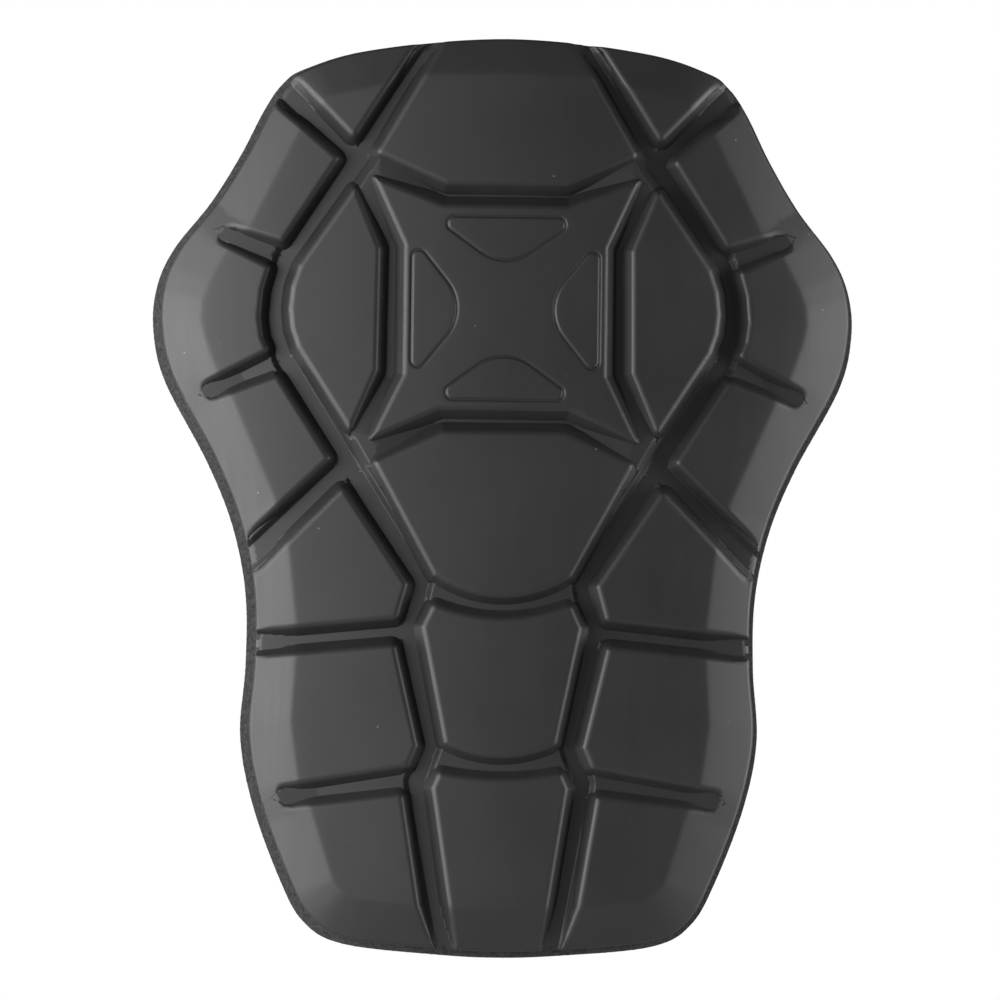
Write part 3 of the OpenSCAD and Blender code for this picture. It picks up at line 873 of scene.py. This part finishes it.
def moulded_plastic(name, dark, light, rough_low, rough_high, grain):
    """Satin black moulded elastomer: fine grain, faint flow streaks, patchy gloss and a little dust."""
    material, tree, shader, place = blank_material(name)
    patches = noise(tree, place, 26, 4)
    streaks = noise(tree, place, 260, 3, stretch=(1, 1, 0.07))
    grain_height = noise(tree, place, 2600, 2, roughness=0.6)
    pores = noise(tree, place, 900, 3)
    body = mix_colour(tree, patches, dark, light)
    dust = specks(tree, place, 150, 0.05, 0.06)
    fine_dust = specks(tree, place, 420, 0.035, 0.08)
    all_dust = math_node(tree, "MAXIMUM", dust, math_node(tree, "MULTIPLY", fine_dust, 0.6))
    tree.links.new(mix_colour(tree, all_dust, body, (0.16, 0.155, 0.15, 1)), shader.inputs["Base Color"])
    worn = weighted(tree, patches, 0.5, streaks, 0.5)
    tree.links.new(remap(tree, worn, 0.35, 0.65, rough_low, rough_high), shader.inputs["Roughness"])
    height = weighted(tree, grain_height, 0.6, pores, 0.4)
    bump = node(tree, "Bump", {"Height": height, "Strength": grain, "Distance": 0.0002})
    tree.links.new(bump.outputs[0], shader.inputs["Normal"])
    return material


def foam(name, dark, light, cell, strength):
    """Foam rubber: open cells over mottled colour."""
    material, tree, shader, place = blank_material(name)
    mottle = noise(tree, place, 700, 5, roughness=0.7)
    cells = node(tree, "TexVoronoi", {"Vector": place, "Scale": cell}, feature="F1").outputs["Distance"]
    fibres = noise(tree, place, 1700, 3, stretch=(1, 1, 0.3), roughness=0.7)
    spread = remap(tree, mottle, 0.35, 0.68, 0.0, 1.0)
    tree.links.new(mix_colour(tree, spread, dark, light), shader.inputs["Base Color"])
    tree.links.new(remap(tree, mottle, 0.3, 0.7, 0.78, 0.95), shader.inputs["Roughness"])
    height = weighted(tree, cells, 0.6, fibres, 0.6)
    bump = node(tree, "Bump", {"Height": height, "Strength": strength, "Distance": 0.0006})
    tree.links.new(bump.outputs[0], shader.inputs["Normal"])
    return material


def waves(tree, place, direction, scale, distortion, detail_scale):
    inputs = {"Vector": place, "Scale": scale, "Distortion": distortion, "Detail": 1.0,
              "Detail Scale": detail_scale}
    return node(tree, "TexWave", inputs, bands_direction=direction, wave_profile="SIN").outputs["Fac"]


def knit(name, dark, light, course, wale):
    """Warp knit: fine vertical wales crossed by courses of loops, with painted shade between the loops and a
    painted highlight where the yarn stands up, over random tone from fuzz and patches.
    """
    material, tree, shader, place = blank_material(name)
    across = waves(tree, place, "X", wale, 0.6, 2.0)
    up = waves(tree, place, "Z", course, 1.2, 3.0)
    loops = math_node(tree, "MULTIPLY", across, up)
    fuzz = noise(tree, place, 2400, 3, roughness=0.7)
    patches = noise(tree, place, 18, 3)
    yarn = weighted(tree, loops, 0.7, fuzz, 0.3)
    # The colour by loop height is painted shade between the loops and a painted highlight on them; fuzz and
    # patches add random yarn tone.
    yarn_tone_and_loop_shade = math_node(tree, "MULTIPLY", yarn, remap(tree, patches, 0.3, 0.7, 0.85, 1.15))
    tree.links.new(mix_colour(tree, yarn_tone_and_loop_shade, dark, light), shader.inputs["Base Color"])
    tree.links.new(remap(tree, yarn, 0.0, 1.0, 0.95, 0.75), shader.inputs["Roughness"])
    shader.inputs["Sheen Weight"].default_value = 0.25
    shader.inputs["Sheen Roughness"].default_value = 0.5
    bump = node(tree, "Bump", {"Height": yarn, "Strength": 0.7, "Distance": 0.0005})
    tree.links.new(bump.outputs[0], shader.inputs["Normal"])
    return material


# ---------------------------------------------------------------- the object
BLACK_DARK, BLACK_LIGHT = (0.0163, 0.0165, 0.017, 1), (0.0272, 0.0275, 0.028, 1)

plates = build_plates()
finishes = {
    "armour_plate": moulded_plastic("satin_elastomer", BLACK_DARK, BLACK_LIGHT, 0.43, 0.49, 0.2),
    "groove_skin": moulded_plastic("groove_elastomer", BLACK_DARK, BLACK_LIGHT, 0.44, 0.5, 0.2),
    "foam_core": foam("cut_core_foam", (0.012, 0.012, 0.013, 1), (0.035, 0.035, 0.036, 1), 1500, 0.5),
    "backing_foam": foam("die_cut_backing", (0.015, 0.015, 0.016, 1), (0.075, 0.074, 0.072, 1), 2200, 0.6),
    "knit_lining": knit("warp_knit", (0.006, 0.006, 0.007, 1), (0.05, 0.05, 0.052, 1), 350, 420),
}
for name, (piece, body) in plates.items():
    piece.data.materials.append(finishes["armour_plate"])
    if "lumbar" in name or "hip" in name:
        a, b = (np.array(p) * SCALE * ((-1, 1) if "left" in name else (1, 1)) for p in SEAM)
        normal = np.array([a[1] - b[1], b[0] - a[0]]) / np.linalg.norm(b - a) * SEAM_HALF
        upward = normal if normal[1] > 0 else -normal
        bend(piece, "lumbar", (a + b) / 2 + upward, (a + b) / 2 - upward)
    else:
        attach(piece, body)
build_layers(finishes)

# ---------------------------------------------------------------- camera, light and floor
FLOOR_GAP, FLOOR_RADIUS = 0.046, 0.3
CAMERA_DISTANCE = 2.0
CAMERA_AZIMUTH, CAMERA_ELEVATION, CAMERA_ROLL = -1.5, -1.5, 0.7
CAMERA_TARGET = (-0.001, 0.0, -0.001)
WORLD_LIGHT = 0.1
SOFTBOX_REACH, SOFTBOX_HEIGHT, SOFTBOX_WIDTH = 1.5, 1.2, 0.4
# Each softbox's name, degrees round to the wearer's right of the object's front, and power in watts.
SOFTBOXES = [
    ("front_fill", -15, 2.7), ("left_front", -45, 8.9), ("left_softbox", -60, 12), ("left_side", -75, 12),
    ("left_rim", -95, 12), ("right_front", 60, 1.3), ("right_softbox", 75, 12), ("right_rim", 95, 12),
]


def area_light(name, azimuth, power):
    """An upright softbox that faces the object, azimuth degrees round to the wearer's right of its front."""
    light = bpy.data.lights.new(name, "AREA")
    light.shape = "RECTANGLE"
    light.size, light.size_y = SOFTBOX_WIDTH, SOFTBOX_HEIGHT
    light.energy = power
    lamp = bpy.data.objects.new(name, light)
    a = math.radians(azimuth)
    lamp.location = (SOFTBOX_REACH * math.sin(a), -SOFTBOX_REACH * math.cos(a), 0)
    lamp.rotation_euler = (-lamp.location).to_track_quat("-Z", "Y").to_euler()
    bpy.context.scene.collection.objects.link(lamp)


def studio_world():
    """White behind the object for the camera, and dim for the light that falls on it."""
    world = bpy.data.worlds.new("studio")
    world.use_nodes = True
    tree = world.node_tree
    background = tree.nodes["Background"]
    seen = node(tree, "LightPath").outputs["Is Camera Ray"]
    tree.links.new(remap(tree, seen, 0, 1, WORLD_LIGHT, 1.0), background.inputs["Strength"])
    background.inputs["Color"].default_value = (1, 1, 1, 1)
    bpy.context.scene.world = world


def studio_floor():
    bpy.ops.mesh.primitive_circle_add(vertices=96, radius=FLOOR_RADIUS, fill_type="NGON",
                                      location=(0, 0, CAD_BOX[0][2] - FLOOR_GAP))
    floor = bpy.context.object
    floor.name = "floor"
    material, tree, shader, place = blank_material("pale_floor")
    tree.links.new(mix_colour(tree, noise(tree, place, 6), (0.78, 0.78, 0.78, 1), (0.84, 0.84, 0.84, 1)),
                   shader.inputs["Base Color"])
    shader.inputs["Roughness"].default_value = 0.8
    floor.data.materials.append(material)


def photo_camera():
    data = bpy.data.cameras.new("photo")
    data.lens, data.sensor_width = 165, 36
    camera = bpy.data.objects.new("photo", data)
    a, e = math.radians(CAMERA_AZIMUTH), math.radians(CAMERA_ELEVATION)
    target = Vector(CAMERA_TARGET)
    camera.location = target + CAMERA_DISTANCE * Vector(
        (math.sin(a) * math.cos(e), -math.cos(a) * math.cos(e), math.sin(e)))
    aim = (target - camera.location).to_track_quat("-Z", "Y")
    camera.rotation_euler = aim.to_euler()
    camera.rotation_euler.rotate_axis("Z", math.radians(CAMERA_ROLL))
    bpy.context.scene.collection.objects.link(camera)
    bpy.context.scene.camera = camera


studio_world()
studio_floor()
for name, azimuth, power in SOFTBOXES:
    area_light(name, azimuth, power)
photo_camera()
bpy.context.scene.view_settings.view_transform = "Standard"
